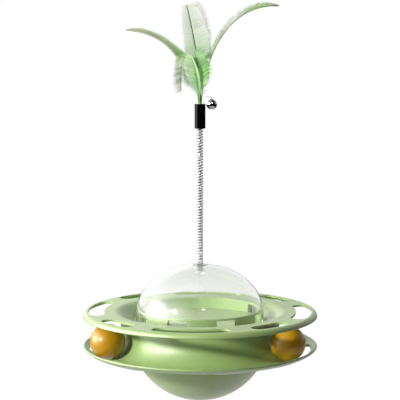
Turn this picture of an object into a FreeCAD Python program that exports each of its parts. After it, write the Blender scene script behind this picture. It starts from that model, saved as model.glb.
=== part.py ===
import FreeCAD, Part
import math
import os

# Saucer-shaped cat treat tumbler: a weighted round bowl, a ball track between two slotted
# brims, a treat chamber under a clear dome, and a feather wand on a spring.
# The origin is the middle of the small flat that the bowl stands on. +Z is up, and -Y is the front.

# How far a cutting body runs past the face that it cuts
cut_margin = 1.0

# Base bowl
bowl_radius = 69.0
bowl_wall = 2.6
rest_flat_radius = 12.0
bowl_boss_circle = 55.0
bowl_boss_radius = 4.2
bowl_boss_count = 4
bowl_boss_phase = 45.0
bowl_boss_length = 28.0

# Counterweight
weight_radius = 29.5
weight_thickness = 8.0
weight_bevel = 1.2
weight_post_height = 7.4
weight_post_circle = 19.0
weight_post_radius = 4.0
weight_post_count = 3
weight_post_phase = 90.0

# Screws
screw_radius = 1.5
screw_head_radius = 3.1
screw_head_height = 2.0
screw_head_round = 0.8
screw_length = 12.0
screw_hole_clearance = 0.3
thread_clearance = 0.05

# Balls
ball_radius = 17.0
ball_wall = 1.6
ball_gap = 0.25
ball_left_angle = 207.0
ball_right_angle = 327.5

# Lower brim, groove and neck
brim_radius = 115.0
track_inset = 16.0
track_floor = 48.5
groove_play = 4.0
track_wall = 2.2
track_web_hole_radius = 46.0
neck_drop = 8.4
rib_depth = 3.0
rib_wall = 1.6
rib_clearance = 0.3

# Upper tray
ball_headroom = 2.75
tray_wall = 2.0
lip_height = 5.1
brim_width = 35.0
dish_edge_round = 12.0
dish_edge_under_round = 6.0
dish_depth = 11.5
trough_width = 7.0
trough_round = 4.0
edge_round = 0.9
lip_round = 4.3
spigot_depth = 7.4
spigot_wall = 2.0
spigot_clearance = 0.3

# Twist lock between the tray and the neck
lock_count = 3
lock_ledge_span = 13.0
lock_ledge_height = 2.0
lock_ledge_bite = 2.3
lock_ledge_drop = 5.2
lock_gap = 0.3
lock_turn = 17.0

# Treat chamber
floor_step = 3.0
chamber_radius = 58.4
ring_wall = 2.2
ring_height = 11.0
outlet_count = 6
outlet_pitch = 45.0
outlet_span = 18.0
outlet_phase = 159.0
outlet_height = 9.0

# Chamber cup, a ring with a floor that clips into the tray's middle
cup_ledge = 8.0
cup_gap = 0.3
finger_count = 3
finger_span = 16.0
finger_phase = 30.0
finger_wall = 1.6
finger_hook_reach = 1.0
finger_hook_height = 1.6
finger_hook_gap = 0.1

# Brim slots
slot_land = 5.5
slot_width = 15.5
track_slot_land = 6.0
track_slot_width = 13.0
long_slot_span = 41.5
short_slot_span = 23.5
slot_sets = 4
upper_slot_phase = -5.0
lower_slot_phase = -12.0

# Clear dome
dome_wall = 1.6
dome_fit = 0.5
dome_rise = 48.2
dome_foot_gap = 0.3
skirt_height = 8.7
dome_window_height = 10.0
tab_reach = 4.0
tab_top_reach = 2.6
tab_height = 20.0
tab_thickness = 2.4

# Wand socket
socket_wall = 1.6
socket_depth = 8.7
socket_fit = 0.3
collar_width = 2.0
collar_height = 1.2
collar_stand = 0.7

# Spring
spring_outer_radius = 3.35
spring_wire_radius = 0.55
spring_pitch = 2.7
spring_length = 147.9
spring_seat_gap = 0.3
facets_per_turn = 12
wire_sides = 6

# Black sleeve and the plug that holds the quills
sleeve_wall = 1.8
sleeve_length = 24.0
sleeve_grip = 7.0
sleeve_fit = 0.15
sleeve_round = 0.8
plug_radius = 1.8
plug_stand_out = 0.8
plug_round = 0.4

# Feathers
quill_inset = 0.55
quill_width = 0.75
quill_gap = 0.1
vane_thickness = 0.9
feather_stations = 10
vane_root_share = 0.08
vane_tip_share = 0.02
tangent_step = 0.01

# Bell
bell_radius = 5.2
bell_wall = 0.5
bell_slot_width = 1.4
bell_slot_length = 7.8
bell_gap = 0.8
bell_drop = 0.5
eye_ring_radius = 1.25
eye_wire_radius = 0.35
pellet_radius = 1.7
pellet_gap = 0.1
hook_wire_radius = 0.3
hook_rise = 0.9
hook_reach = 3.0
hook_end = 1.6
hook_play = 0.3
hook_bend_share = 0.45

# Heights and radii worked out from the sizes above
bowl_centre = math.sqrt(bowl_radius ** 2 - rest_flat_radius ** 2)
bowl_inner_radius = bowl_radius - bowl_wall
bowl_floor = bowl_centre - bowl_inner_radius
weight_seat = bowl_floor + weight_post_height
weight_top = weight_seat + weight_thickness
groove_radius = ball_radius + groove_play
groove_outer = groove_radius + track_wall
groove_centre = track_floor + groove_radius
track_radius = brim_radius - track_inset
web_underside = track_floor - track_wall
neck_radius = track_radius - groove_radius
neck_inner = neck_radius - track_wall
under_brim = track_floor + ball_gap + 2 * ball_radius + ball_headroom
brim_top = under_brim + tray_wall
lip_bottom = brim_top - lip_height
neck_top = brim_top - neck_drop
ledge_top = neck_top - lock_ledge_drop
dish_edge_radius = brim_radius - brim_width
trough_floor = brim_top - dish_depth
chamber_floor = trough_floor + floor_step
ring_top = chamber_floor + ring_height
ring_outer_radius = chamber_radius + ring_wall
cup_hole_radius = chamber_radius - cup_ledge
under_trough = trough_floor - tray_wall
slot_outer_radius = brim_radius - slot_land
slot_inner_radius = slot_outer_radius - slot_width
track_slot_outer_radius = brim_radius - track_slot_land
track_slot_inner_radius = track_slot_outer_radius - track_slot_width
dome_inner_radius = ring_outer_radius + dome_fit
dome_radius = dome_inner_radius + dome_wall
dome_foot = trough_floor + dome_foot_gap
dome_spring_line = dome_foot + skirt_height
socket_bore = spring_outer_radius + socket_fit
socket_outer_radius = socket_bore + socket_wall
collar_radius = socket_outer_radius + collar_width
socket_top = dome_spring_line + dome_rise + collar_stand
socket_floor = socket_top - socket_depth
spring_bottom = socket_floor + spring_seat_gap
spring_top = spring_bottom + spring_length
sleeve_outer_radius = spring_outer_radius + sleeve_fit + sleeve_wall
sleeve_bottom = spring_top - sleeve_grip
sleeve_top = sleeve_bottom + sleeve_length
plug_bottom = spring_top + 2 * sleeve_fit
plug_top = sleeve_top + plug_stand_out
bell_height = sleeve_top - bell_drop
bell_offset = sleeve_outer_radius + bell_gap + bell_radius


def vec(x, y, z):
    return FreeCAD.Vector(x, y, z)


def polar(radius, angle, z=0.0):
    turn = math.radians(angle)
    return vec(radius * math.cos(turn), radius * math.sin(turn), z)


def outline(start, steps):
    """Closed wire in the XZ plane. A step is (r, z) for a line or ((r, z), (r, z)) for an arc."""
    here = vec(start[0], 0, start[1])
    first = here
    edges = []
    for step in steps:
        if isinstance(step[0], tuple):
            through = vec(step[0][0], 0, step[0][1])
            there = vec(step[1][0], 0, step[1][1])
            edges.append(Part.Arc(here, through, there).toShape())
        else:
            there = vec(step[0], 0, step[1])
            edges.append(Part.LineSegment(here, there).toShape())
        here = there
    if (here - first).Length > 1e-6:
        edges.append(Part.LineSegment(here, first).toShape())
    return Part.Wire(edges)


def rounded(corners):
    """Closed wire in the XZ plane through corners (r, z, round), each rounded by its own radius."""
    count = len(corners)
    trims = []
    for i in range(count):
        before = vec(corners[i - 1][0], 0, corners[i - 1][1])
        here = vec(corners[i][0], 0, corners[i][1])
        after = vec(corners[(i + 1) % count][0], 0, corners[(i + 1) % count][1])
        radius = corners[i][2]
        to_before = (before - here).normalize()
        to_after = (after - here).normalize()
        if radius <= 0:
            trims.append((here, here, here))
            continue
        half = to_before.getAngle(to_after) / 2
        reach = radius / math.tan(half)
        bisector = (to_before + to_after).normalize()
        middle = here + bisector * (radius / math.sin(half) - radius)
        trims.append((here + to_before * reach, middle, here + to_after * reach))
    edges = []
    for i in range(count):
        enter, middle, leave = trims[i]
        if (leave - enter).Length > 1e-6:
            edges.append(Part.Arc(enter, middle, leave).toShape())
        following = trims[(i + 1) % count][0]
        if (following - leave).Length > 1e-6:
            edges.append(Part.LineSegment(leave, following).toShape())
    return Part.Wire(edges)


def turned(wire):
    return Part.Face(wire).revolve(vec(0, 0, 0), vec(0, 0, 1), 360)


def on_groove(radius, angle):
    """Point at an angle from straight down, outwards positive, on an arc round the groove's centre."""
    turn = math.radians(angle)
    return (track_radius + radius * math.sin(turn), groove_centre - radius * math.cos(turn))


def sector(inner, outer, middle, span, low, high):
    """Block between two radii and two angles, for ledges, outlets and windows."""
    left = middle - span / 2
    right = middle + span / 2
    edges = [
        Part.Arc(polar(inner, left, low), polar(inner, middle, low), polar(inner, right, low)).toShape(),
        Part.LineSegment(polar(inner, right, low), polar(outer, right, low)).toShape(),
        Part.Arc(polar(outer, right, low), polar(outer, middle, low), polar(outer, left, low)).toShape(),
        Part.LineSegment(polar(outer, left, low), polar(inner, left, low)).toShape(),
    ]
    return Part.Face(Part.Wire(edges)).extrude(vec(0, 0, high - low))


def curved_slot(inner, outer, middle, span, low, high):
    """Brim slot with half-round ends, as a block to cut with."""
    centre_line = (inner + outer) / 2
    end_turn = math.degrees((outer - inner) / 2 / centre_line)
    left = middle - span / 2 + end_turn
    right = middle + span / 2 - end_turn
    edges = [
        Part.Arc(
            polar(inner, left, low),
            polar(inner, middle, low),
            polar(inner, right, low),
        ).toShape(),
        Part.Arc(
            polar(inner, right, low),
            polar(centre_line, right + end_turn, low),
            polar(outer, right, low),
        ).toShape(),
        Part.Arc(polar(outer, right, low), polar(outer, middle, low), polar(outer, left, low)).toShape(),
        Part.Arc(
            polar(outer, left, low),
            polar(centre_line, left - end_turn, low),
            polar(inner, left, low),
        ).toShape(),
    ]
    return Part.Face(Part.Wire(edges)).extrude(vec(0, 0, high - low))


def brim_slots(inner, outer, phase, low, high):
    """Long and short slots in turn round the brim."""
    pitch = 360.0 / slot_sets
    cutters = []
    for i in range(slot_sets):
        cutters.append(curved_slot(inner, outer, phase + i * pitch, long_slot_span, low, high))
        cutters.append(curved_slot(inner, outer, phase + (i + 0.5) * pitch, short_slot_span, low, high))
    return cutters


def spots(count, circle, phase=0.0):
    return [polar(circle, phase + 360.0 * i / count) for i in range(count)]


def boss_spots():
    return spots(bowl_boss_count, bowl_boss_circle, bowl_boss_phase)


def weight_spots():
    return spots(weight_post_count, weight_post_circle, weight_post_phase)


def bore(radius, spot, low, high):
    return Part.makeCylinder(radius, high - low, vec(spot.x, spot.y, low))


def screw(spot, seat):
    """Pan-head screw pointing down, its head on the seat height."""
    shank = bore(screw_radius, spot, seat - screw_length, seat)
    head = bore(screw_head_radius, spot, seat, seat + screw_head_height)
    rim = [e for e in head.Edges if e.BoundBox.ZMin > seat + screw_head_height / 2 and e.Closed]
    head = head.makeFillet(screw_head_round, rim[:1])
    return head.fuse(shank).removeSplitter()


def base_bowl():
    outer_low = (rest_flat_radius, 0.0)
    rim_outer = math.sqrt(bowl_radius ** 2 - (bowl_centre - web_underside) ** 2)
    rim_inner = math.sqrt(bowl_inner_radius ** 2 - (bowl_centre - web_underside) ** 2)
    steep = math.radians(45)
    outer_mid = (bowl_radius * math.sin(steep), bowl_centre - bowl_radius * math.cos(steep))
    inner_mid = (bowl_inner_radius * math.sin(steep), bowl_centre - bowl_inner_radius * math.cos(steep))
    shell = turned(outline((0.0, 0.0), [
        outer_low,
        (outer_mid, (rim_outer, web_underside)),
        (rim_inner, web_underside),
        (inner_mid, (0.0, bowl_floor)),
    ]))
    ball = Part.makeSphere(bowl_radius - bowl_wall / 2, vec(0, 0, bowl_centre))
    posts = []
    for spot in boss_spots():
        posts.append(bore(bowl_boss_radius, spot, web_underside - bowl_boss_length, web_underside))
    for spot in weight_spots():
        posts.append(bore(weight_post_radius, spot, bowl_wall / 2, weight_seat))
    shell = shell.fuse([post.common(ball) for post in posts])
    pilots = []
    for spot in boss_spots():
        tip = track_floor - screw_length - thread_clearance
        pilots.append(bore(screw_radius + thread_clearance, spot, tip, web_underside))
    for spot in weight_spots():
        tip = weight_top - screw_length - thread_clearance
        pilots.append(bore(screw_radius + thread_clearance, spot, tip, weight_seat))
    return shell.cut(pilots).removeSplitter()


def counterweight():
    disc = turned(rounded([
        (0.0, weight_seat, 0),
        (weight_radius - weight_bevel, weight_seat, 0),
        (weight_radius, weight_seat + weight_bevel, 0),
        (weight_radius, weight_top - weight_bevel, 0),
        (weight_radius - weight_bevel, weight_top, 0),
        (0.0, weight_top, 0),
    ]))
    low = weight_seat - cut_margin
    high = weight_top + cut_margin
    holes = []
    for spot in weight_spots():
        holes.append(bore(screw_radius + screw_hole_clearance, spot, low, high))
    return disc.cut(holes)


def weight_screws():
    return Part.makeCompound([screw(spot, weight_top) for spot in weight_spots()])


def bowl_screws():
    return Part.makeCompound([screw(spot, track_floor) for spot in boss_spots()])


def lower_track():
    bead = track_wall / 2
    middle = groove_radius + bead
    rim = math.degrees(math.asin((brim_radius - bead - track_radius) / middle))
    bead_turn = math.degrees(bead / middle)
    cove_end = (track_radius - math.sqrt(groove_outer ** 2 - groove_radius ** 2), track_floor)
    cove_turn = math.degrees(math.asin((cove_end[0] - track_radius) / groove_outer))
    shell = turned(outline((track_web_hole_radius, web_underside), [
        (track_radius, web_underside),
        (on_groove(groove_outer, rim / 2), on_groove(groove_outer, rim)),
        (on_groove(middle, rim + bead_turn), on_groove(groove_radius, rim)),
        (on_groove(groove_radius, rim / 2), on_groove(groove_radius, 0.0)),
        (on_groove(groove_radius, -45.0), on_groove(groove_radius, -90.0)),
        (neck_radius, neck_top),
        (neck_inner, neck_top),
        (neck_inner, groove_centre),
        (on_groove(groove_outer, (cove_turn - 90.0) / 2), cove_end),
        (track_web_hole_radius, track_floor),
    ]))
    rib_low = web_underside - rib_depth
    rib_outer = math.sqrt(bowl_inner_radius ** 2 - (bowl_centre - rib_low) ** 2) - rib_clearance
    rib = Part.makeCylinder(rib_outer, rib_depth + track_wall / 2, vec(0, 0, rib_low))
    rib_bore = Part.makeCylinder(rib_outer - rib_wall, 2 * rib_depth, vec(0, 0, rib_low - cut_margin))
    rib = rib.cut(rib_bore)
    notches = []
    for spot in boss_spots():
        notches.append(bore(bowl_boss_radius + rib_clearance, spot, rib_low - cut_margin, web_underside))
    shell = shell.fuse(rib.cut(notches))
    ledges = []
    for i in range(lock_count):
        ledges.append(sector(
            neck_inner - spigot_clearance - lock_ledge_bite,
            neck_inner + track_wall / 2,
            360.0 * i / lock_count,
            lock_ledge_span,
            ledge_top - lock_ledge_height,
            ledge_top,
        ))
    shell = shell.fuse(ledges)
    cutters = brim_slots(
        track_slot_inner_radius,
        track_slot_outer_radius,
        lower_slot_phase,
        web_underside - cut_margin,
        groove_centre,
    )
    for spot in boss_spots():
        low = web_underside - cut_margin
        cutters.append(bore(screw_radius + screw_hole_clearance, spot, low, track_floor + cut_margin))
    return shell.cut(cutters).removeSplitter()


def upper_tray():
    trough_outer = ring_outer_radius + trough_width
    slope = (brim_top - trough_floor) / (dish_edge_radius - trough_outer)
    steep = math.atan(slope)
    shift = tray_wall * math.tan(steep / 2)
    seat_outer = neck_radius + spigot_clearance
    spigot_outer = neck_inner - spigot_clearance
    spigot_inner = spigot_outer - spigot_wall

    def underside(radius):
        return under_trough + slope * (radius - trough_outer - shift)

    shell = turned(rounded([
        (cup_hole_radius, trough_floor, 0),
        (trough_outer, trough_floor, trough_round),
        (dish_edge_radius, brim_top, dish_edge_round),
        (brim_radius, brim_top, lip_round),
        (brim_radius, lip_bottom, edge_round),
        (brim_radius - tray_wall, lip_bottom, edge_round),
        (brim_radius - tray_wall, under_brim, edge_round),
        (dish_edge_radius + shift, under_brim, dish_edge_under_round),
        (seat_outer, underside(seat_outer), 0),
        (seat_outer, neck_top, 0),
        (spigot_outer, neck_top, 0),
        (spigot_outer, neck_top - spigot_depth, 0),
        (spigot_inner, neck_top - spigot_depth, 0),
        (spigot_inner, underside(spigot_inner), 0),
        (trough_outer + shift, under_trough, trough_round),
        (cup_hole_radius, under_trough, 0),
    ]))
    cutters = brim_slots(
        slot_inner_radius,
        slot_outer_radius,
        upper_slot_phase,
        under_brim - cut_margin,
        brim_top + cut_margin,
    )
    for i in range(lock_count):
        middle = 360.0 * i / lock_count
        slack = math.degrees(lock_gap / spigot_outer)
        run = lock_ledge_span + lock_turn + 2 * slack
        cutters.append(sector(
            spigot_inner - cut_margin,
            spigot_outer + cut_margin,
            middle + lock_turn / 2,
            run,
            ledge_top - lock_ledge_height - lock_gap,
            ledge_top + lock_gap,
        ))
        cutters.append(sector(
            spigot_inner - cut_margin,
            spigot_outer + cut_margin,
            middle + lock_turn,
            lock_ledge_span + 2 * slack,
            neck_top - spigot_depth - cut_margin,
            ledge_top + lock_gap,
        ))
    return shell.cut(cutters).removeSplitter()


def treat_cup():
    """Chamber floor and its ring of outlets, held in the tray by hooked fingers."""
    under_floor = chamber_floor - tray_wall
    finger_outer = cup_hole_radius - cup_gap
    hook_top = under_trough - finger_hook_gap
    hook_low = hook_top - finger_hook_height
    cup = turned(rounded([
        (0.0, chamber_floor, 0),
        (chamber_radius, chamber_floor, edge_round),
        (chamber_radius, ring_top, edge_round),
        (ring_outer_radius, ring_top, edge_round),
        (ring_outer_radius, trough_floor, 0),
        (chamber_radius, trough_floor, 0),
        (chamber_radius, under_floor, 0),
        (0.0, under_floor, 0),
    ]))
    fingers = []
    for i in range(finger_count):
        middle = 360.0 * i / finger_count + finger_phase
        fingers.append(sector(
            finger_outer - finger_wall,
            finger_outer,
            middle,
            finger_span,
            hook_low,
            under_floor + tray_wall / 2,
        ))
        fingers.append(sector(
            finger_outer - finger_wall / 2,
            cup_hole_radius + finger_hook_reach,
            middle,
            finger_span,
            hook_low,
            hook_top,
        ))
    outlets = []
    for i in range(outlet_count):
        outlets.append(sector(
            chamber_radius - cut_margin,
            ring_outer_radius + cut_margin,
            outlet_phase + i * outlet_pitch,
            outlet_span,
            chamber_floor,
            chamber_floor + outlet_height,
        ))
    return cup.fuse(fingers).cut(outlets).removeSplitter()


def half_dome(radius, rise, foot):
    """Half an oblate dome on a straight skirt, as a filled body."""
    centre = vec(0, 0, dome_spring_line)
    ellipse = Part.Ellipse(vec(radius, 0, dome_spring_line), vec(0, 0, dome_spring_line + rise), centre)
    quarter = Part.ArcOfEllipse(ellipse, 0, math.pi / 2).toShape()
    side = vec(radius, 0, dome_spring_line)
    crown = vec(0, 0, dome_spring_line + rise)
    low = vec(radius, 0, foot)
    axis = vec(0, 0, foot)
    wire = Part.Wire([
        Part.LineSegment(axis, low).toShape(),
        Part.LineSegment(low, side).toShape(),
        quarter,
        Part.LineSegment(crown, axis).toShape(),
    ])
    return turned(wire)


def dome_cover():
    shell = half_dome(dome_radius, dome_rise, dome_foot)
    inner = half_dome(dome_inner_radius, dome_rise - dome_wall, dome_foot - cut_margin)
    collar_low = socket_top - collar_height
    socket = turned(rounded([
        (0.0, socket_floor - socket_wall, 0),
        (socket_outer_radius, socket_floor - socket_wall, edge_round),
        (socket_outer_radius, collar_low, 0),
        (collar_radius, socket_top - collar_height / 2, 0),
        (collar_radius, socket_top, collar_height / 4),
        (0.0, socket_top, 0),
    ]))
    tabs = []
    tab_shoulder = dome_foot + tab_height - tab_reach
    for side in (1, -1):
        wire = Part.makePolygon([
            vec(side * dome_inner_radius, -tab_thickness / 2, dome_foot),
            vec(side * (dome_radius + tab_reach), -tab_thickness / 2, dome_foot),
            vec(side * (dome_radius + tab_top_reach), -tab_thickness / 2, tab_shoulder),
            vec(side * dome_inner_radius, -tab_thickness / 2, dome_foot + tab_height),
            vec(side * dome_inner_radius, -tab_thickness / 2, dome_foot),
        ])
        tabs.append(Part.Face(wire).extrude(vec(0, tab_thickness, 0)))
    shell = shell.fuse(tabs).cut(inner)
    shell = shell.fuse(socket)
    well = Part.makeCylinder(socket_bore, socket_depth + cut_margin, vec(0, 0, socket_floor))
    windows = []
    for i in range(outlet_count):
        windows.append(sector(
            dome_inner_radius - cut_margin,
            dome_radius + cut_margin,
            outlet_phase + i * outlet_pitch,
            outlet_span,
            dome_foot - cut_margin,
            dome_foot + dome_window_height,
        ))
    return shell.cut([well] + windows).removeSplitter()


def track_ball(angle):
    centre = polar(track_radius, angle, track_floor + ball_gap + ball_radius)
    return Part.makeSphere(ball_radius, centre).cut(Part.makeSphere(ball_radius - ball_wall, centre))


def spring():
    """One unbroken coil of round wire, drawn as a many-sided tube."""
    coil = spring_outer_radius - spring_wire_radius
    climb = spring_pitch / (2 * math.pi)
    length = math.hypot(coil, climb)
    height = spring_length - 2 * spring_wire_radius
    steps = int(round(height / spring_pitch * facets_per_turn))
    start = spring_bottom + spring_wire_radius
    sections = []
    centres = []
    for i in range(steps + 1):
        turn = 2 * math.pi * i / facets_per_turn
        outwards = vec(math.cos(turn), math.sin(turn), 0)
        along = vec(-coil * math.sin(turn) / length, coil * math.cos(turn) / length, climb / length)
        across = along.cross(outwards)
        centre = outwards * coil + vec(0, 0, start + climb * turn)
        corners = []
        for k in range(wire_sides):
            spin = 2 * math.pi * k / wire_sides
            corners.append(centre + outwards * (spring_wire_radius * math.cos(spin))
                           + across * (spring_wire_radius * math.sin(spin)))
        sections.append(Part.makePolygon(corners + corners[:1]))
        centres.append(centre)
    gaps = []
    for i in range(facets_per_turn // 2, len(centres)):
        for j in range(max(0, i - 3 * facets_per_turn // 2), i - facets_per_turn // 2):
            gaps.append((centres[i] - centres[j]).Length - 2 * spring_wire_radius)
    print("spring: %.1f turns, least gap to itself %.2f mm" % (steps / facets_per_turn, min(gaps)))
    return Part.makeLoft(sections, True, True)


def sleeve():
    grip_bore = spring_outer_radius + sleeve_fit
    plug_bore = plug_radius + sleeve_fit
    return turned(rounded([
        (grip_bore, sleeve_bottom, 0),
        (sleeve_outer_radius, sleeve_bottom, sleeve_round),
        (sleeve_outer_radius, sleeve_top, sleeve_round / 2),
        (plug_bore, sleeve_top, 0),
        (plug_bore, spring_top + sleeve_fit, 0),
        (grip_bore, spring_top + sleeve_fit, 0),
    ]))


def quill_plug():
    return turned(rounded([
        (0.0, plug_bottom, 0),
        (plug_radius, plug_bottom, plug_round),
        (plug_radius, plug_top, plug_round),
        (0.0, plug_top, 0),
    ]))


def curve_at(points, t):
    """Point on the cubic curve that four control points draw."""
    s = 1.0 - t
    return (points[0] * (s ** 3) + points[1] * (3 * s * s * t)
            + points[2] * (3 * s * t * t) + points[3] * (t ** 3))


def feather(root_angle, pull, sweep, tip, facing, left_vane, right_vane, vane_start, fullest, taper):
    """Flat lens-shaped feather along a cubic curve from the plug to its tip.

    pull, sweep and tip are places from the plug's top. facing is the way the flat side looks.
    The vane opens at vane_start of the length. It is left_vane and right_vane wide at the share
    fullest of its own length, and a small taper keeps it nearly that wide to a blunt end.
    """
    slant = math.log(0.5) / math.log(fullest)
    top = vec(0, 0, plug_top)
    root = polar(plug_radius - quill_inset, root_angle, plug_top + quill_gap)
    route = [root, top + pull, top + sweep, top + tip]
    sections = []
    for i in range(feather_stations + 1):
        t = i / feather_stations
        here = curve_at(route, t)
        ahead = curve_at(route, min(1.0, t + tangent_step))
        ahead = ahead - curve_at(route, max(0.0, t - tangent_step))
        ahead.normalize()
        across = ahead.cross(facing).normalize()
        through = across.cross(ahead).normalize()
        grown = max(0.0, (t - vane_start) / (1.0 - vane_start))
        spread = vane_root_share + (1.0 - vane_root_share - vane_tip_share) * grown ** slant
        fullness = math.sin(math.pi * spread) ** taper if grown > 0 else 0.0
        right = quill_width / 2 + right_vane * fullness
        left = quill_width / 2 + left_vane * fullness
        thick = (quill_width + (vane_thickness - quill_width) * t) / 2
        corners = [
            here + across * right,
            here + across * (right / 2) + through * thick,
            here - across * (left / 2) + through * thick,
            here - across * left,
            here - across * (left / 2) - through * thick,
            here + across * (right / 2) - through * thick,
        ]
        sections.append(Part.makePolygon(corners + corners[:1]))
    return Part.makeLoft(sections, True, True)


def feathers():
    return {
        "feather_left": feather(
            150, vec(-2, 0.5, 36), vec(-34, 2, 73), vec(-71, 0, 70), vec(0, -1, 0.5),
            left_vane=4.3, right_vane=4.3, vane_start=0.34, fullest=0.12, taper=0.5),
        "feather_right": feather(
            0, vec(4, 0.5, 43), vec(25, 3, 97), vec(75, 0, 93), vec(0, -1, 0.5),
            left_vane=5.0, right_vane=0.6, vane_start=0.38, fullest=0.50, taper=0.4),
        "feather_back": feather(
            80, vec(0.5, 4, 33), vec(-6, 8, 66), vec(-13, 9, 94.2), vec(0, -1, 0),
            left_vane=9.0, right_vane=17.5, vane_start=0.42, fullest=0.55, taper=0.15),
        "feather_bent": feather(
            205, vec(-6, -2, 42), vec(-19, -7, 70), vec(-18.5, -14, 12), vec(0, -1, 0),
            left_vane=1.5, right_vane=7.8, vane_start=0.60, fullest=0.50, taper=0.4),
        "feather_front_left": feather(
            260, vec(-0.5, -4, 14), vec(-2, -9, 31), vec(-9.5, -10, 47), vec(0, -1, 0),
            left_vane=16.5, right_vane=1.5, vane_start=0.25, fullest=0.30, taper=0.6),
        "feather_front_right": feather(
            310, vec(1.5, -2, 16), vec(-0.5, -4.5, 32), vec(-4, -5, 50), vec(0, -1, 0),
            left_vane=1.5, right_vane=13.5, vane_start=0.25, fullest=0.50, taper=0.5),
    }


def bell_centre():
    return vec(bell_offset, 0, bell_height)


def bell_eye_centre():
    return bell_centre() + vec(0, 0, bell_radius + eye_ring_radius - eye_wire_radius / 2)


def bell_shell():
    centre = bell_centre()
    shell = Part.makeSphere(bell_radius, centre).cut(Part.makeSphere(bell_radius - bell_wall, centre))
    slots = []
    for turn in (0, 90):
        block = Part.makeBox(bell_slot_length, bell_slot_width, bell_radius)
        block.translate(vec(-bell_slot_length / 2, -bell_slot_width / 2, -bell_radius - bell_slot_width))
        block.rotate(vec(0, 0, 0), vec(0, 0, 1), turn)
        block.translate(centre)
        slots.append(block)
    eye = Part.makeTorus(eye_ring_radius, eye_wire_radius, bell_eye_centre(), vec(1, 0, 0))
    eye = eye.cut(Part.makeSphere(bell_radius - bell_wall / 2, centre))
    return shell.cut(slots).fuse(eye).removeSplitter()


def bell_pellet():
    low = bell_centre() - vec(0, 0, bell_radius - bell_wall - pellet_radius - pellet_gap)
    return Part.makeSphere(pellet_radius, low)


def wire_path(points):
    """Straight runs joined by tangent arcs, each as large as its two runs allow."""
    edges = []
    here = points[0]
    for i in range(1, len(points) - 1):
        corner = points[i]
        back = points[i - 1] - corner
        on = points[i + 1] - corner
        reach = hook_bend_share * min(back.Length, on.Length)
        back.normalize()
        on.normalize()
        half = back.getAngle(on) / 2
        radius = reach * math.tan(half)
        bisector = (back + on).normalize()
        enter = corner + back * reach
        leave = corner + on * reach
        middle = corner + bisector * (radius / math.sin(half) - radius)
        edges.append(Part.LineSegment(here, enter).toShape())
        edges.append(Part.Arc(enter, middle, leave).toShape())
        here = leave
    edges.append(Part.LineSegment(here, points[-1]).toShape())
    return Part.Wire(edges)


def bell_hook():
    """Thin wire from the sleeve's top face over to the bell's eye."""
    eye_inside = eye_ring_radius - eye_wire_radius - hook_wire_radius
    bar = bell_eye_centre() + vec(0, 0, eye_inside - hook_play)
    stand = (sleeve_outer_radius + plug_radius) / 2
    foot = vec(stand, 0, sleeve_top)
    path = wire_path([
        foot,
        vec(stand, 0, bar.z + hook_rise),
        vec(bar.x - hook_reach, 0, bar.z + hook_rise),
        vec(bar.x, 0, bar.z),
        vec(bar.x + hook_end, 0, bar.z + hook_rise / 3),
        vec(bar.x + hook_end, 0, bar.z + 2 * hook_rise),
    ])
    section = Part.Wire(Part.Circle(foot, vec(0, 0, 1), hook_wire_radius).toShape())
    return path.makePipeShell([section], True, False)


def export(name, shape):
    shape.exportStep(os.path.join("parts", name + ".step"))
    print("%-20s solids %d valid %s volume %.1f" % (name, len(shape.Solids), shape.isValid(), shape.Volume))


os.makedirs("parts", exist_ok=True)
export("base_bowl", base_bowl())
export("counterweight", counterweight())
export("weight_screws", weight_screws())
export("lower_track", lower_track())
export("bowl_screws", bowl_screws())
export("upper_tray", upper_tray())
export("treat_cup", treat_cup())
export("dome_cover", dome_cover())
export("ball_left", track_ball(ball_left_angle))
export("ball_right", track_ball(ball_right_angle))
export("spring", spring())
export("sleeve", sleeve())
export("quill_plug", quill_plug())
for feather_name, feather_shape in feathers().items():
    export(feather_name, feather_shape)
export("bell_shell", bell_shell())
export("bell_pellet", bell_pellet())
export("bell_hook", bell_hook())
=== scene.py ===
import math
import random

import bpy
import numpy as np
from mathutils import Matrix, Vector


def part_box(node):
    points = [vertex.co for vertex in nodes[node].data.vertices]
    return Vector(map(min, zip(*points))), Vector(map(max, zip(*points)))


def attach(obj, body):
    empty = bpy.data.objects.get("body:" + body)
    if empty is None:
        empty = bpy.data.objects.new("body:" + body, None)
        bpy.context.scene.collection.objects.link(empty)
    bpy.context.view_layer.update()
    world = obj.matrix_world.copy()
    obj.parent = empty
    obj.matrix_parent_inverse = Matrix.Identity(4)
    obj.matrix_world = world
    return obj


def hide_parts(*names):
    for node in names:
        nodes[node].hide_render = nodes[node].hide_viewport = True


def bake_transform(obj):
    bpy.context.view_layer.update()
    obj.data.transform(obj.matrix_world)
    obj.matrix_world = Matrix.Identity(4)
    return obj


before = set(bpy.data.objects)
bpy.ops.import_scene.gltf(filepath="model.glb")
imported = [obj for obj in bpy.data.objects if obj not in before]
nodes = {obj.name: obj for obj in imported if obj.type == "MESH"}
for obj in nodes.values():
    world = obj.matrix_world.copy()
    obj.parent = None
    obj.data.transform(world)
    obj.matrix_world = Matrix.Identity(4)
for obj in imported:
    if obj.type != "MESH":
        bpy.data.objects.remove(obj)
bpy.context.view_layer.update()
scene = bpy.context.scene
MM = 0.001


# Materials

def linear(red, green, blue):
    """Linear colour from 0 to 255 screen values."""
    out = []
    for value in (red, green, blue):
        share = value / 255
        out.append(share / 12.92 if share <= 0.04045 else ((share + 0.055) / 1.055) ** 2.4)
    return (*out, 1.0)


def math_node(tree, kind, first, second):
    """Output of a math node on two numbers or outputs."""
    node = tree.nodes.new("ShaderNodeMath")
    node.operation = kind
    for socket, value in zip(node.inputs, (first, second)):
        if isinstance(value, float):
            socket.default_value = value
        else:
            tree.links.new(value, socket)
    return node.outputs[0]


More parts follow.
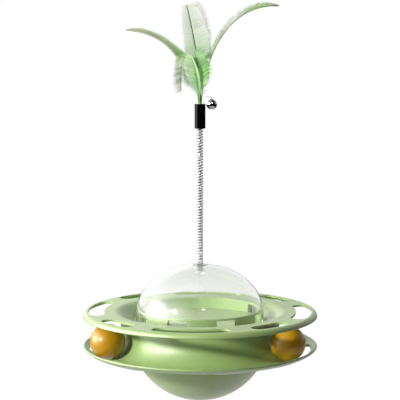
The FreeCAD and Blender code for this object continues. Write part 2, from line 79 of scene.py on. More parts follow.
class Look:
    """A node material with a Principled shader and short ways to add to it."""

    def __init__(self, name, **values):
        self.material = bpy.data.materials.new(name)
        self.material.use_nodes = True
        self.tree = self.material.node_tree
        self.shader = self.tree.nodes["Principled BSDF"]
        self.output = self.tree.nodes["Material Output"]
        self.place = self.tree.nodes.new("ShaderNodeTexCoord").outputs["Object"]
        self.set(**values)

    def set(self, **values):
        for key, value in values.items():
            self.shader.inputs[key.replace("_", " ")].default_value = value

    def add(self, kind, **values):
        node = self.tree.nodes.new(kind)
        for key, value in values.items():
            node.inputs[key.replace("_", " ")].default_value = value
        return node

    def link(self, start, end):
        self.tree.links.new(start, end)

    def noise(self, scale, detail=2.0):
        node = self.add("ShaderNodeTexNoise", Scale=scale, Detail=detail)
        self.link(self.place, node.inputs["Vector"])
        return node.outputs["Fac"]

    def attribute(self, name):
        node = self.add("ShaderNodeAttribute")
        node.attribute_name = name
        return node.outputs["Fac"]

    def ramp(self, source, *stops):
        node = self.add("ShaderNodeValToRGB")
        elements = node.color_ramp.elements
        while len(elements) < len(stops):
            elements.new(0.5)
        for element, (position, colour) in zip(elements, stops):
            element.position = position
            element.color = colour
        self.link(source, node.inputs["Fac"])
        return node.outputs["Color"]

    def remap(self, source, low, high):
        node = self.add("ShaderNodeMapRange", To_Min=low, To_Max=high)
        self.link(source, node.inputs["Value"])
        return node.outputs["Result"]

    def blend(self, share, first, second):
        """Mix of two colour outputs. The node's colour sockets are inputs 6 and 7 and output 2."""
        node = self.add("ShaderNodeMix")
        node.data_type = "RGBA"
        for start, end in ((share, node.inputs[0]), (first, node.inputs[6]), (second, node.inputs[7])):
            self.link(start, end)
        return node.outputs[2]

    def scaled(self, colour, amount):
        node = self.add("ShaderNodeVectorMath")
        node.operation = "SCALE"
        self.link(colour, node.inputs[0])
        self.link(amount, node.inputs["Scale"])
        return node.outputs["Vector"]

    def mixed(self, share, first, second):
        """Shader mix to the material's surface. share is a number or an output."""
        node = self.add("ShaderNodeMixShader")
        if isinstance(share, float):
            node.inputs["Fac"].default_value = share
        else:
            self.link(share, node.inputs["Fac"])
        self.link(first, node.inputs[1])
        self.link(second, node.inputs[2])
        self.link(node.outputs["Shader"], self.output.inputs["Surface"])
        return node.outputs["Shader"]

    def bump(self, source, strength, distance):
        node = self.add("ShaderNodeBump", Strength=strength, Distance=distance)
        self.link(source, node.inputs["Height"])
        self.link(node.outputs["Normal"], self.shader.inputs["Normal"])


MOTTLE_SCALE = 9.0
SMUDGE_SCALE = 60.0
SMUDGE_SMOOTHER, SMUDGE_ROUGHER = 0.04, 0.05
GRAIN_DEPTH = 0.0001


def moulded(name, dark, light, roughness, grain=1500.0, bump=0.05):
    """Plastic or metal, mottled from dark to light, with uneven gloss and a fine grain."""
    look = Look(name)
    mottle = look.ramp(look.noise(MOTTLE_SCALE, detail=3.0), (0.35, dark), (0.65, light))
    look.link(mottle, look.shader.inputs["Base Color"])
    smudges = look.noise(SMUDGE_SCALE, detail=4.0)
    gloss = look.remap(smudges, roughness - SMUDGE_SMOOTHER, roughness + SMUDGE_ROUGHER)
    look.link(gloss, look.shader.inputs["Roughness"])
    look.bump(look.noise(grain), bump, GRAIN_DEPTH)
    return look


green = moulded("green_plastic", linear(158, 189, 115), linear(164, 192, 122), 0.5)
green.set(Specular_IOR_Level=0.9, Coat_Weight=0.5, Coat_Roughness=0.4)

gold = moulded("gold_plastic", linear(190, 140, 2), linear(200, 150, 6), 0.46, grain=900.0, bump=0.08)
gold.set(Specular_IOR_Level=0.3, Coat_Weight=0.5, Coat_Roughness=0.25)

black = moulded("black_sleeve", linear(3, 3, 3), linear(5, 5, 5), 0.16, grain=2600.0, bump=0.04)
black.set(Specular_IOR_Level=0.07)

steel = moulded("steel", (0.5, 0.5, 0.5, 1), (0.62, 0.62, 0.64, 1), 0.34, grain=2200.0, bump=0.1)
steel.set(Metallic=1.0)

wire = moulded("spring_wire", (0.3, 0.3, 0.31, 1), (0.38, 0.38, 0.39, 1), 0.16, grain=3000.0, bump=0.06)
wire.set(Metallic=1.0)

hook_wire = moulded("hook_wire", (0.8, 0.8, 0.8, 1), (0.86, 0.86, 0.87, 1), 0.4, grain=2600.0, bump=0.05)
hook_wire.set(Metallic=0.5)

chrome = moulded("bell_chrome", (0.54, 0.54, 0.54, 1), (0.62, 0.62, 0.63, 1), 0.07, grain=900.0, bump=0.03)
chrome.set(Metallic=1.0)

glue = moulded("plug_plastic", linear(120, 160, 90), linear(160, 195, 125), 0.5, grain=1800.0, bump=0.3)


def clear_plastic():
    """Clear shell with a milky gloss, which lets light straight through to what is under it."""
    look = Look(
        "clear_plastic", Base_Color=(0.95, 0.955, 0.95, 1), Transmission_Weight=1.0, IOR=1.4,
        Roughness=0.04, Coat_Weight=0.8, Coat_Roughness=0.45, Coat_IOR=1.5)
    look.bump(look.noise(35.0, detail=1.0), strength=0.04, distance=0.0006)
    through = look.add("ShaderNodeBsdfTransparent", Color=(0.88, 0.89, 0.88, 1))
    path = look.add("ShaderNodeLightPath").outputs
    soft = math_node(look.tree, "MAXIMUM", path["Is Shadow Ray"], path["Is Diffuse Ray"])
    look.mixed(soft, look.shader.outputs["BSDF"], through.outputs["BSDF"])
    return look


clear = clear_plastic()


def plumage(name, inner, outer, light_through, streak):
    """Feather barbs, coloured along the feather from inner at the quill to outer at the edge."""
    look = Look(name, Roughness=0.6, Specular_IOR_Level=0.2, Sheen_Weight=0.05, Sheen_Roughness=0.5)
    along = look.attribute("along")
    colour = look.blend(look.attribute("across"), look.ramp(along, *inner), look.ramp(along, *outer))
    colour = look.scaled(colour, look.remap(look.attribute("streak"), 1.0 - streak, 1.0 + streak))
    look.link(colour, look.shader.inputs["Base Color"])
    thin = look.add("ShaderNodeBsdfTranslucent")
    look.link(colour, thin.inputs["Color"])
    look.mixed(light_through, look.shader.outputs["BSDF"], thin.outputs["BSDF"])
    return look


def stops(*pairs):
    """Ramp stops from positions with 0 to 255 screen colours."""
    return [(position, linear(*colour)) for position, colour in pairs]


def dress(look, *names):
    for name in names:
        mesh_object = nodes[name]
        mesh_object.data.materials.clear()
        mesh_object.data.materials.append(look.material)


dress(green, "base_bowl", "lower_track", "upper_tray", "treat_cup")
dress(steel, "counterweight", "weight_screws", "bowl_screws", "bell_pellet")
dress(clear, "dome_cover")
dress(gold, "ball_left", "ball_right")
dress(black, "sleeve")
dress(glue, "quill_plug")
dress(chrome, "bell_shell")
dress(hook_wire, "bell_hook")


# Shapes

class Shape:
    """Points and faces of closed tubes and sheets, gathered into one mesh."""

    LABELS = ("along", "across", "streak")

    def __init__(self):
        self.points = []
        self.faces = []
        self.marks = {label: [] for label in self.LABELS}

    def tube(self, rings, **marks):
        """Closed tube through rings of equal size. A mark is one number or one number a ring."""
        size = len(rings[0])
        first = len(self.points)
        for ring in rings:
            self.points.extend(ring)
        for label in self.LABELS:
            values = np.broadcast_to(marks.get(label, 0.0), len(rings))
            self.marks[label].extend(np.repeat(values, size).tolist())
        for i in range(len(rings) - 1):
            low = first + i * size
            for k in range(size):
                on = (k + 1) % size
                self.faces.append((low + k, low + on, low + size + on, low + size + k))
        self.faces.append(tuple(first + k for k in reversed(range(size))))
        last = first + (len(rings) - 1) * size
        self.faces.append(tuple(last + k for k in range(size)))

    def sheet(self, rows, normals, half, along, across, streaks):
        """Closed thin sheet over a grid of points, with a thickness of twice half."""
        first = len(self.points)
        count, size = len(rows), len(rows[0])
        for side in (1, -1):
            for row, normal in zip(rows, normals):
                self.points.extend((point + normal * half * side) * MM for point in row)
            self.marks["along"].extend(np.repeat(along, size).tolist())
            self.marks["across"].extend(np.tile(across, count).tolist())
            self.marks["streak"].extend(np.repeat(streaks, size).tolist())
        under = first + count * size
        for i in range(count - 1):
            for k in range(size - 1):
                corner = i * size + k
                quad = (corner, corner + size, corner + size + 1, corner + 1)
                self.faces.append(tuple(first + v for v in quad))
                self.faces.append(tuple(under + v for v in reversed(quad)))
        rim = list(range(size)) + [i * size + size - 1 for i in range(1, count)]
        rim += [(count - 1) * size + k for k in range(size - 2, -1, -1)]
        rim += [i * size for i in range(count - 2, 0, -1)]
        for here, after in zip(rim, rim[1:] + rim[:1]):
            self.faces.append((first + here, first + after, under + after, under + here))

    def piece(self, name, look):
        mesh = bpy.data.meshes.new(name)
        mesh.from_pydata([tuple(p) for p in self.points], [], self.faces)
        for label, values in self.marks.items():
            attribute = mesh.attributes.new(label, "FLOAT", "POINT")
            attribute.data.foreach_set("value", np.array(values, np.float32))
        mesh.shade_smooth()
        mesh.materials.append(look.material)
        made = bpy.data.objects.new(name, mesh)
        scene.collection.objects.link(made)
        return made


def bezier(points, t):
    s = 1.0 - t
    return points[0] * s ** 3 + points[1] * 3 * s * s * t + points[2] * 3 * s * t * t + points[3] * t ** 3


def unit(v):
    return v / np.linalg.norm(v)


def ring_round(centre, first, second, radii, sides):
    """Points of an ellipse round centre, spanned by two directions."""
    ring = []
    for k in range(sides):
        spin = 2 * math.pi * k / sides
        ring.append((centre + first * radii[0] * math.cos(spin) + second * radii[1] * math.sin(spin)) * MM)
    return ring


# Spring, in millimetres

COIL_RADIUS = 2.8
COIL_PITCH = 2.7
WIRE_RADIUS = 0.55
RINGS_PER_TURN = 28
WIRE_SIDES = 8


def coil_spring():
    """One round wire wound at the spring node's radius and pitch, between its two ends."""
    low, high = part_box("spring")
    height = (high.z - low.z) / MM - 2 * WIRE_RADIUS
    steps = int(round(height / COIL_PITCH * RINGS_PER_TURN))
    climb = height / steps
    slope = climb * RINGS_PER_TURN / (2 * math.pi)
    rings = []
    for i in range(steps + 1):
        turn = 2 * math.pi * i / RINGS_PER_TURN
        out = np.array([math.cos(turn), math.sin(turn), 0.0])
        run = unit(np.array([-COIL_RADIUS * math.sin(turn), COIL_RADIUS * math.cos(turn), slope]))
        centre = out * COIL_RADIUS + np.array([0, 0, low.z / MM + WIRE_RADIUS + climb * i])
        rings.append(ring_round(centre, out, np.cross(run, out), (WIRE_RADIUS, WIRE_RADIUS), WIRE_SIDES))
    shape = Shape()
    shape.tube(rings)
    return shape.piece("spring_coil", wire)


spring = coil_spring()
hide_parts("spring")
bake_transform(spring)


# Feathers, in millimetres

PLUG_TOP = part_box("quill_plug")[1].z / MM
QUILL_CIRCLE = 1.25
QUILL_GAP = 0.1
QUILL_RINGS = 41
QUILL_SIDES = 8
QUILL_TAPER = 0.8
SLOPE_STEP = 0.01

BARB_PLACE = (0.2, 0.8)
BARB_MARKS = 7
BARB_SIDES = 4
BARB_TIP_HALF = 0.03
BARB_HEIGHT, BARB_TIP_HEIGHT = 0.055, 0.02
BARB_LIFT = 0.05
LAST_BARB = 0.999
LENGTH_PLAY = 1.5
DROOP_PLAY = 0.5
SWAY_SHARE = 0.6

DOWN_PLACE = (0.78, 1.05)
DOWN_ANGLE = (25, 95)
DOWN_LENGTH = (2.5, 7.5)
DOWN_SWAY = (-0.9, 0.9)
DOWN_THICKNESS = 0.16

WEB_MARKS = 9
WEB_HALF = 0.05
WEB_RIB = 0.04
WEB_TIP_LOSS = 0.35
WEB_RAGGED = (-0.14, 0.1)
BAND_PITCH = 17
BAND_DEPTH = 0.25


class Feather:
    """One feather: a tapered quill along a cubic curve, with a web and barbs to both sides.

    root_angle is where the quill stands round the plug. pull, sweep and tip are places from the
    plug's top, and facing is the way the vane's front looks. start is where the vane begins, as a
    share of the quill. right and left are the vane's widths from there to its tip, at even steps.
    lean is the barbs' angle from the quill at the two ends of the vane, and fold is how far its
    sides fold forward. curl bends each barb towards the tip, or away from it below zero. barbs is
    their number a side, thick their width at the quill, and loose how far they stray. web is how
    far out they are hooked together. down droops the lowest ones, and fluff is the number of
    loose ones under the vane. quill is the quill's radius at its root and at its tip.
    """

    def __init__(self, name, *, root_angle, pull, sweep, tip, facing, right, left, start, lean, fold,
                 vane, stem, seed, barbs=190, curl=0.25, loose=0.06, thick=0.4, quill=(0.5, 0.16),
                 down=0.0, fluff=0, web=0.6, pale=False):
        self.dice = random.Random(seed)
        self.barb_shape = Shape()
        top = np.array([0, 0, PLUG_TOP])
        turn = math.radians(root_angle)
        root = top + np.array([QUILL_CIRCLE * math.cos(turn), QUILL_CIRCLE * math.sin(turn), QUILL_GAP])
        self.route = [root] + [top + np.array(place, float) for place in (pull, sweep, tip)]
        self.facing = np.array(facing, float)
        self.widths = {1: right, -1: left}
        self.start = start
        self.fold = math.radians(fold)
        self.lean = lean
        self.curl = curl
        self.loose = loose
        self.thick = thick
        self.down = down
        self.web_share = web
        for side in (1, -1):
            self.web(side, barbs)
        step = (1.0 - start) / barbs
        for i in range(barbs):
            for side in (1, -1):
                self.barb(start + step * (i + self.dice.uniform(*BARB_PLACE)), side)
        for _ in range(fluff):
            self.loose_barb(start * self.dice.uniform(*DOWN_PLACE))
        made = self.barb_shape.piece(name + "_vane", vane)
        rachis = self.quill(quill).piece(name + "_quill", stem)
        for piece in (made, rachis):
            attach(piece, "wand_head")
        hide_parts(name)

    def frame_at(self, t):
        """Place on the quill, the way it runs, the way to its right and the way it faces."""
        here = bezier(self.route, t)
        after = bezier(self.route, min(1.0, t + SLOPE_STEP))
        before = bezier(self.route, max(0.0, t - SLOPE_STEP))
        run = unit(after - before)
        side = unit(np.cross(run, self.facing))
        return here, run, side, np.cross(side, run)

    def quill(self, radii):
        rings = []
        marks = np.linspace(0, 1, QUILL_RINGS)
        for t in marks:
            here, _, side, up = self.frame_at(t)
            radius = radii[0] + (radii[1] - radii[0]) * t ** QUILL_TAPER
            rings.append(ring_round(here, side, up, (radius, radius), QUILL_SIDES))
        shape = Shape()
        shape.tube(rings, along=marks)
        return shape

    def spread(self, share, side):
        """Angle from the quill and length of a barb a share of the way up the vane."""
        table = self.widths[side]
        width = float(np.interp(share, np.linspace(0, 1, len(table)), table))
        angle = math.radians(self.lean[0] + (self.lean[1] - self.lean[0]) * share)
        return angle, width / math.sin(angle * (1 - self.curl / 2))

    def web(self, side, barbs):
        """The hooked-together part of one side of the vane, ribbed along its barbs."""
        shares = np.linspace(0, 1, barbs + 1)
        across = np.linspace(0, 1, WEB_MARKS)
        rows, normals = [], []
        for i, share in enumerate(shares):
            angle, reach = self.spread(share, side)
            reach *= self.web_share * (1 - WEB_TIP_LOSS * share ** 6 + self.dice.uniform(*WEB_RAGGED))
            t = self.start + (1 - self.start) * share
            line, normal = self.line(t, side, angle, reach, 0.0, self.down * (1 - share), across)
            rib = WEB_RIB if i % 2 else -WEB_RIB
            rows.append([point + normal * rib for point in line])
            normals.append(normal)
        streaks = []
        for share in shares:
            play = self.dice.uniform(-BAND_DEPTH, BAND_DEPTH)
            streaks.append(0.5 + BAND_DEPTH * math.sin(BAND_PITCH * share) + play)
        self.barb_shape.sheet(rows, normals, WEB_HALF, shares, (across * self.web_share) ** 0.5, streaks)

    def barb(self, t, side):
        share = (t - self.start) / (1 - self.start)
        angle, reach = self.spread(share, side)
        angle *= 1 + self.dice.uniform(-self.loose, self.loose)
        reach *= 1 + self.dice.uniform(-LENGTH_PLAY, LENGTH_PLAY) * self.loose
        sway = self.dice.uniform(-1, 1) * self.loose
        droop = self.down * (1 - share) + self.dice.uniform(-1, 1) * self.loose * DROOP_PLAY
        self.strand(t, side, angle, reach, self.thick, sway, droop)

    def loose_barb(self, t):
        """A fine downy barb under the vane."""
        side = self.dice.choice((1, -1))
        angle = math.radians(self.dice.uniform(*DOWN_ANGLE))
        reach = self.dice.uniform(*DOWN_LENGTH)
        self.strand(t, side, angle, reach, DOWN_THICKNESS, self.dice.uniform(*DOWN_SWAY), 0.0)

    def line(self, t, side, angle, reach, sway, droop, marks):
        """Centre points of a barb that leaves the quill at t, and the way its vane faces."""
        here, run, across, up = self.frame_at(min(t, LAST_BARB))
        out = across * side * math.cos(self.fold) + up * math.sin(self.fold)
        normal = up * math.cos(self.fold) - across * side * math.sin(self.fold)
        points = []
        for u in marks:
            points.append(here)
            bent = angle * (1 - self.curl * u)
            step = run * math.cos(bent) + out * math.sin(bent)
            step = unit(step + normal * (2 * BARB_LIFT * u + sway * SWAY_SHARE) - run * droop * u)
            here = here + step * (reach / (len(marks) - 1))
        return points, normal

    def strand(self, t, side, angle, reach, thick, sway, droop):
        """One barb as a tapered tube."""
        marks = np.linspace(0, 1, BARB_MARKS)
        points, normal = self.line(t, side, angle, reach, sway, droop, marks)
        rings = []
        for i, u in enumerate(marks):
            step = unit(points[min(i + 1, BARB_MARKS - 1)] - points[max(i - 1, 0)])
            wide = unit(np.cross(normal, step))
            half = thick * (1 - u) ** 0.5 * 0.5 + BARB_TIP_HALF
            high = BARB_HEIGHT * (1 - u) + BARB_TIP_HEIGHT
            rings.append(ring_round(points[i], wide, normal, (half, high), BARB_SIDES))
        share = max(0.0, (t - self.start) / (1 - self.start))
        self.barb_shape.tube(rings, along=share, across=marks ** 0.5, streak=self.dice.random())


side_vane = plumage(
    "left_feather",
    stops((0.0, (84, 170, 34)), (0.14, (96, 174, 42)), (0.26, (156, 190, 118)), (0.5, (184, 196, 158)),
          (0.68, (160, 190, 140)), (0.85, (190, 196, 160)), (1.0, (176, 176, 150))),
    stops((0.0, (96, 178, 44)), (0.14, (112, 190, 62)), (0.3, (198, 214, 176)), (1.0, (220, 224, 200))),
    light_through=0.4, streak=0.14)
right_vane = plumage(
    "right_feather",
    stops((0.0, (122, 150, 100)), (0.2, (186, 204, 150)), (0.4, (206, 212, 186)), (0.55, (186, 200, 178)),
          (0.68, (140, 180, 108)), (0.84, (120, 165, 86)), (0.9, (150, 146, 132)), (1.0, (120, 110, 104))),
    stops((0.0, (190, 214, 170)), (0.4, (232, 236, 220)), (0.6, (226, 236, 222)), (0.7, (186, 214, 158)),
          (0.85, (170, 206, 140)), (1.0, (190, 186, 180))),
    light_through=0.3, streak=0.3)
back_vane = plumage(
    "back_feather",
    stops((0.0, (150, 200, 126)), (0.12, (178, 222, 158)), (0.3, (206, 232, 194)), (0.55, (224, 235, 219)),
          (1.0, (228, 237, 226))),
    stops((0.0, (176, 208, 164)), (0.1, (206, 226, 200)), (0.3, (234, 242, 232)), (1.0, (246, 249, 245))),
    light_through=0.4, streak=0.04)
bent_vane = plumage(
    "bent_feather",
    stops((0.0, (130, 186, 84)), (0.22, (150, 206, 98)), (0.4, (190, 220, 156)), (0.52, (208, 222, 196)),
          (0.58, (146, 164, 132)), (0.64, (210, 222, 198)), (0.7, (150, 166, 136)), (0.76, (212, 222, 200)),
          (0.82, (152, 164, 140)), (0.9, (212, 220, 202)), (1.0, (208, 214, 198))),
    stops((0.0, (168, 210, 124)), (0.3, (212, 230, 196)), (0.52, (230, 240, 224)), (0.58, (192, 206, 186)),
          (0.64, (230, 240, 224)), (0.7, (194, 208, 188)), (0.76, (231, 239, 226)), (0.82, (198, 208, 192)),
          (0.9, (232, 238, 227)), (1.0, (234, 238, 229))),
    light_through=0.45, streak=0.08)
front_left_vane = plumage(
    "front_left_feather",
    stops((0.0, (84, 202, 36)), (0.35, (100, 216, 54)), (0.6, (190, 246, 154)), (1.0, (212, 250, 186))),
    stops((0.0, (248, 252, 246)), (0.3, (244, 253, 238)), (0.6, (238, 253, 224)), (1.0, (230, 251, 212))),
    light_through=0.2, streak=0.08)
front_right_vane = plumage(
    "front_right_feather",
    stops((0.0, (128, 214, 94)), (0.3, (130, 216, 98)), (0.7, (138, 200, 112)), (1.0, (186, 218, 168))),
    stops((0.0, (222, 246, 206)), (0.35, (184, 240, 160)), (0.7, (184, 232, 168)), (1.0, (204, 232, 190))),
    light_through=0.2, streak=0.3)
quill_green = plumage(
    "quill_green",
    stops((0.0, (96, 160, 60)), (0.35, (130, 190, 90)), (1.0, (120, 150, 96))),
    stops((0.0, (96, 160, 60)), (1.0, (120, 150, 96))),
    light_through=0.1, streak=0.0)
quill_bright = plumage(
    "quill_bright",
    stops((0.0, (120, 190, 84)), (0.3, (150, 226, 124)), (1.0, (196, 240, 176))),
    stops((0.0, (120, 190, 84)), (1.0, (196, 240, 176))),
    light_through=0.1, streak=0.0)
quill_olive = plumage(
    "quill_olive",
    stops((0.0, (110, 160, 76)), (0.35, (124, 146, 96)), (0.6, (104, 118, 88)), (1.0, (84, 84, 74))),
    stops((0.0, (110, 160, 76)), (1.0, (84, 84, 74))),
    light_through=0.0, streak=0.0)
quill_dark = plumage(
    "quill_dark",
    stops((0.0, (70, 130, 46)), (0.45, (58, 118, 44)), (0.62, (52, 100, 44)), (1.0, (60, 78, 56))),
    stops((0.0, (70, 130, 46)), (1.0, (60, 78, 56))),
    light_through=0.0, streak=0.0)

Feather(
    "feather_left", vane=side_vane, stem=quill_green, seed=11,
    root_angle=150, pull=(-2, 0.5, 36), sweep=(-34, 2, 73), tip=(-71, 0, 70),
    facing=(0, -1, 0.5), lean=(55, 30), fold=6, start=0.31,
    right=(4.8, 5.4, 4.4, 3.5, 3.1, 2.8, 2.6, 2.0, 0.4),
    left=(4.8, 5.4, 4.4, 3.5, 3.1, 2.8, 2.6, 2.0, 0.4))
Feather(
    "feather_right", vane=right_vane, stem=quill_olive, seed=12,
    root_angle=0, pull=(4, 0.5, 43), sweep=(26, 3, 95.5), tip=(75, 0, 93),
    facing=(0, -1, 0.5), lean=(42, 34), fold=6, start=0.31,
    right=(0.2, 0.5, 0.6, 0.6, 0.6, 0.6, 0.6, 0.5, 0.3),
    left=(2.2, 3.8, 4.6, 5.0, 5.0, 5.2, 4.8, 3.4, 1.0),
    barbs=210, quill=(0.5, 0.3))
Feather(
    "feather_back", vane=back_vane, stem=quill_dark, seed=13, pale=True,
    root_angle=80, pull=(0.5, 4, 33), sweep=(-6, 8, 66), tip=(-13, 9, 94.2),
    facing=(0, -1, 0), lean=(66, 88), fold=3, start=0.37,
    right=(13.5, 15.5, 16.8, 17.4, 17.5, 17.4, 17, 15.5, 12),
    left=(9.5, 11.5, 12, 11.6, 11, 10, 8.5, 6.8, 4.5),
    thick=0.5, web=0.88, curl=0.06, loose=0.03, quill=(0.5, 0.36))
Feather(
    "feather_bent", vane=bent_vane, stem=quill_green, seed=14, pale=True,
    root_angle=205, pull=(-6, -2, 42), sweep=(-19, -7, 70), tip=(-18.5, -14, 12),
    facing=(0, -1, 0), lean=(84, 64), fold=4, start=0.60,
    right=(2.0, 6.0, 7.6, 7.8, 7.8, 7.8, 7.8, 7.4, 5.5),
    left=(0.6, 1.2, 1.5, 1.6, 1.8, 1.8, 1.6, 1.4, 1.0),
    barbs=120, web=0.75, curl=0.05)
Feather(
    "feather_front_left", vane=front_left_vane, stem=quill_bright, seed=15,
    root_angle=260, pull=(-0.5, -4, 14), sweep=(-2, -9, 31), tip=(-9.5, -10, 47),
    facing=(0, -1, 0), lean=(76, 42), fold=4, start=0.22,
    right=(1.0, 1.8, 2.4, 2.6, 2.6, 2.3, 1.9, 1.2, 0.4),
    left=(3.5, 11, 15.6, 15.8, 14, 11.8, 9.2, 6.2, 2.0),
    barbs=150, web=0.78, curl=0.2, loose=0.1, down=0.15, fluff=40)
Feather(
    "feather_front_right", vane=front_right_vane, stem=quill_dark, seed=16,
    root_angle=310, pull=(1.2, -2, 16), sweep=(-1.0, -4.5, 32), tip=(-5.5, -5, 51),
    facing=(0, -1, 0), lean=(44, 62), fold=4, start=0.25,
    right=(6.5, 9.6, 11.8, 13.2, 13.8, 13.6, 12.6, 10.4, 6),
    left=(0.8, 1.3, 1.5, 1.5, 1.3, 1.1, 0.9, 0.7, 0.4),
    barbs=160, thick=0.36, web=0.84, curl=-0.6, loose=0.12, quill=(0.4, 0.2), down=0.1, fluff=34)


# Light, floor and camera

LIGHT_AIM = (0, 0, 0.1)
FEATHER_AIM = (0, 0, 0.345)
AMBIENT = 0.02

# Broad lobes of light in the world: azimuth and elevation of the middle, how tightly the lobe
# is bundled, and how bright it is.
LOBES = (
    (180, 5, 3.0, 3.1),
    (135, 5, 3.0, 0.9),
    (90, 5, 3.0, 0.8),
    (45, 5, 3.0, 0.85),
)

FLOOR_REACH = 60.0
FLOOR_WHITE = 0.98
FLOOR_SHADOW = 0.05
FLOOR_BOUNCE = 0.24
FLOOR_PATCH = 1.03
FLOOR_GLOW = 1.25
GLOW_REACH = 0.5

CAMERA_LENS = 138.4
CAMERA_PLACE = (0, -1.4888, 0.3736)
CAMERA_AIM = (0, 0, 0.1966)


def towards(azimuth, elevation):
    a, e = math.radians(azimuth), math.radians(elevation)
    return (math.cos(a) * math.cos(e), math.sin(a) * math.cos(e), math.sin(e))


def hang(name, data, aim, direction, distance):
    """Light at a distance from aim, turned back towards it."""
    made = bpy.data.objects.new(name, data)
    scene.collection.objects.link(made)
    made.location = Vector(aim) + Vector(direction).normalized() * distance
    made.rotation_euler = (-Vector(direction)).to_track_quat("-Z", "Y").to_euler()
    return made


def area_light(name, direction, distance, size, power, colour=(1, 1, 1)):
    data = bpy.data.lights.new(name, "AREA")
    data.shape = "DISK"
    data.size = size
    data.energy = power
    data.color = colour
    return hang(name, data, LIGHT_AIM, direction, distance)


def spot_light(name, direction, distance, size, power, width):
    """Narrow soft-edged lamp on the feathers alone."""
    data = bpy.data.lights.new(name, "SPOT")
    data.energy = power
    data.spot_size = math.radians(width)
    data.spot_blend = 0.6
    data.shadow_soft_size = size
    return hang(name, data, FEATHER_AIM, direction, distance)


def soft_panel(name, direction, distance, size, power):
    """Panel that only gloss shows, bright in the middle and fading to its rim."""
    made = area_light(name, direction, distance, size, power)
    made.visible_diffuse = False
    made.data.use_nodes = True
    tree = made.data.node_tree
    emission = tree.nodes["Emission"]
    place = tree.nodes.new("ShaderNodeNewGeometry").outputs["Parametric"]
    middle = tree.nodes.new("ShaderNodeVectorMath")
    middle.operation = "DISTANCE"
    middle.inputs[1].default_value = (0.5, 0.5, 0.0)
    tree.links.new(place, middle.inputs[0])
    fade = tree.nodes.new("ShaderNodeMapRange")
    fade.interpolation_type = "SMOOTHSTEP"
    for socket, value in (("From Max", 0.5), ("To Min", 1.0), ("To Max", 0.0)):
        fade.inputs[socket].default_value = value
    tree.links.new(middle.outputs["Value"], fade.inputs["Value"])
    tree.links.new(fade.outputs["Result"], emission.inputs["Strength"])


area_light("key", towards(222, 21), distance=2.6, size=0.32, power=60, colour=(1.0, 0.97, 0.93))
area_light("top", towards(200, 75), distance=2.4, size=1.6, power=4)
spot_light("feather_fill", towards(276, 32), distance=2.0, size=0.2, power=250, width=7)
soft_panel("left_gloss", towards(183, 8), distance=2.4, size=3.0, power=370)
soft_panel("back_gloss", towards(112, 14), distance=2.4, size=2.4, power=22)


def backdrop_share(tree):
    """One where the camera looks straight or through clear plastic, and zero for all other light."""
    path = tree.nodes.new("ShaderNodeLightPath").outputs
    direct = math_node(tree, "LESS_THAN", path["Diffuse Depth"], 0.5)
    through = math_node(tree, "MULTIPLY", path["Is Transmission Ray"], direct)
    return math_node(tree, "MAXIMUM", path["Is Camera Ray"], through)


def studio_world():
    """White to the camera and through the dome. Everything else is lit by the lobes."""
    world = bpy.data.worlds.new("studio")
    scene.world = world
    world.use_nodes = True
    tree = world.node_tree
    tree.nodes.clear()

    place = tree.nodes.new("ShaderNodeTexCoord").outputs["Generated"]
    total = AMBIENT
    for azimuth, elevation, tightness, strength in LOBES:
        dot = tree.nodes.new("ShaderNodeVectorMath")
        dot.operation = "DOT_PRODUCT"
        dot.inputs[1].default_value = towards(azimuth, elevation)
        tree.links.new(place, dot.inputs[0])
        facing = math_node(tree, "MAXIMUM", dot.outputs["Value"], 0.0)
        lobe = math_node(tree, "MULTIPLY", math_node(tree, "POWER", facing, tightness), strength)
        total = math_node(tree, "ADD", lobe, total)
    lit = tree.nodes.new("ShaderNodeBackground")
    tree.links.new(total, lit.inputs["Strength"])
    seen = tree.nodes.new("ShaderNodeBackground")
    seen.inputs["Color"].default_value = (1, 1, 1, 1)
    mix = tree.nodes.new("ShaderNodeMixShader")
    tree.links.new(backdrop_share(tree), mix.inputs["Fac"])
    tree.links.new(lit.outputs["Background"], mix.inputs[1])
    tree.links.new(seen.outputs["Background"], mix.inputs[2])
    output = tree.nodes.new("ShaderNodeOutputWorld")
    tree.links.new(mix.outputs["Shader"], output.inputs["Surface"])


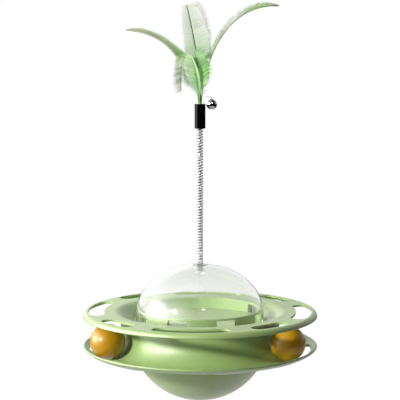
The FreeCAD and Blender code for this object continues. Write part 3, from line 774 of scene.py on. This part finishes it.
def studio_floor():
    """White paper to the camera, with a faint shadow. It throws back less light than it shows."""
    r = FLOOR_REACH
    mesh = bpy.data.meshes.new("studio_floor")
    mesh.from_pydata([(-r, -r, 0), (r, -r, 0), (r, r, 0), (-r, r, 0)], [], [(0, 1, 2, 3)])
    made = bpy.data.objects.new("studio_floor", mesh)
    scene.collection.objects.link(made)
    look = Look("floor_white", Roughness=1.0, Specular_IOR_Level=0.0)
    dark, light = ((*[share * FLOOR_BOUNCE] * 3, 1) for share in (1.0, FLOOR_PATCH))
    paper = look.ramp(look.noise(2.0), (0.3, dark), (0.7, light))
    look.link(paper, look.shader.inputs["Base Color"])

    shown = look.add("ShaderNodeEmission", Strength=FLOOR_WHITE)
    faint = look.add("ShaderNodeBsdfDiffuse", Color=(FLOOR_SHADOW, FLOOR_SHADOW, FLOOR_SHADOW, 1))
    both = look.add("ShaderNodeAddShader")
    look.link(shown.outputs[0], both.inputs[0])
    look.link(faint.outputs[0], both.inputs[1])

    mirrored = look.add("ShaderNodeEmission")
    reach = look.add("ShaderNodeVectorMath")
    reach.operation = "LENGTH"
    look.link(look.place, reach.inputs[0])
    fade = look.add("ShaderNodeMapRange", From_Max=GLOW_REACH, To_Min=FLOOR_GLOW, To_Max=0.0)
    look.link(reach.outputs["Value"], fade.inputs["Value"])
    look.link(fade.outputs["Result"], mirrored.inputs["Strength"])

    glossy = look.add("ShaderNodeLightPath").outputs["Is Glossy Ray"]
    base = look.mixed(glossy, look.shader.outputs["BSDF"], mirrored.outputs[0])
    look.mixed(backdrop_share(look.tree), base, both.outputs[0])
    look.material.cycles.emission_sampling = "NONE"
    mesh.materials.append(look.material)


def studio_camera():
    data = bpy.data.cameras.new("camera")
    data.sensor_width = 36
    data.lens = CAMERA_LENS
    data.clip_end = 200
    made = bpy.data.objects.new("camera", data)
    scene.collection.objects.link(made)
    made.location = CAMERA_PLACE
    made.rotation_euler = (Vector(CAMERA_AIM) - made.location).to_track_quat("-Z", "Y").to_euler()
    scene.camera = made


studio_world()
studio_floor()
studio_camera()
scene.view_settings.view_transform = "Standard"
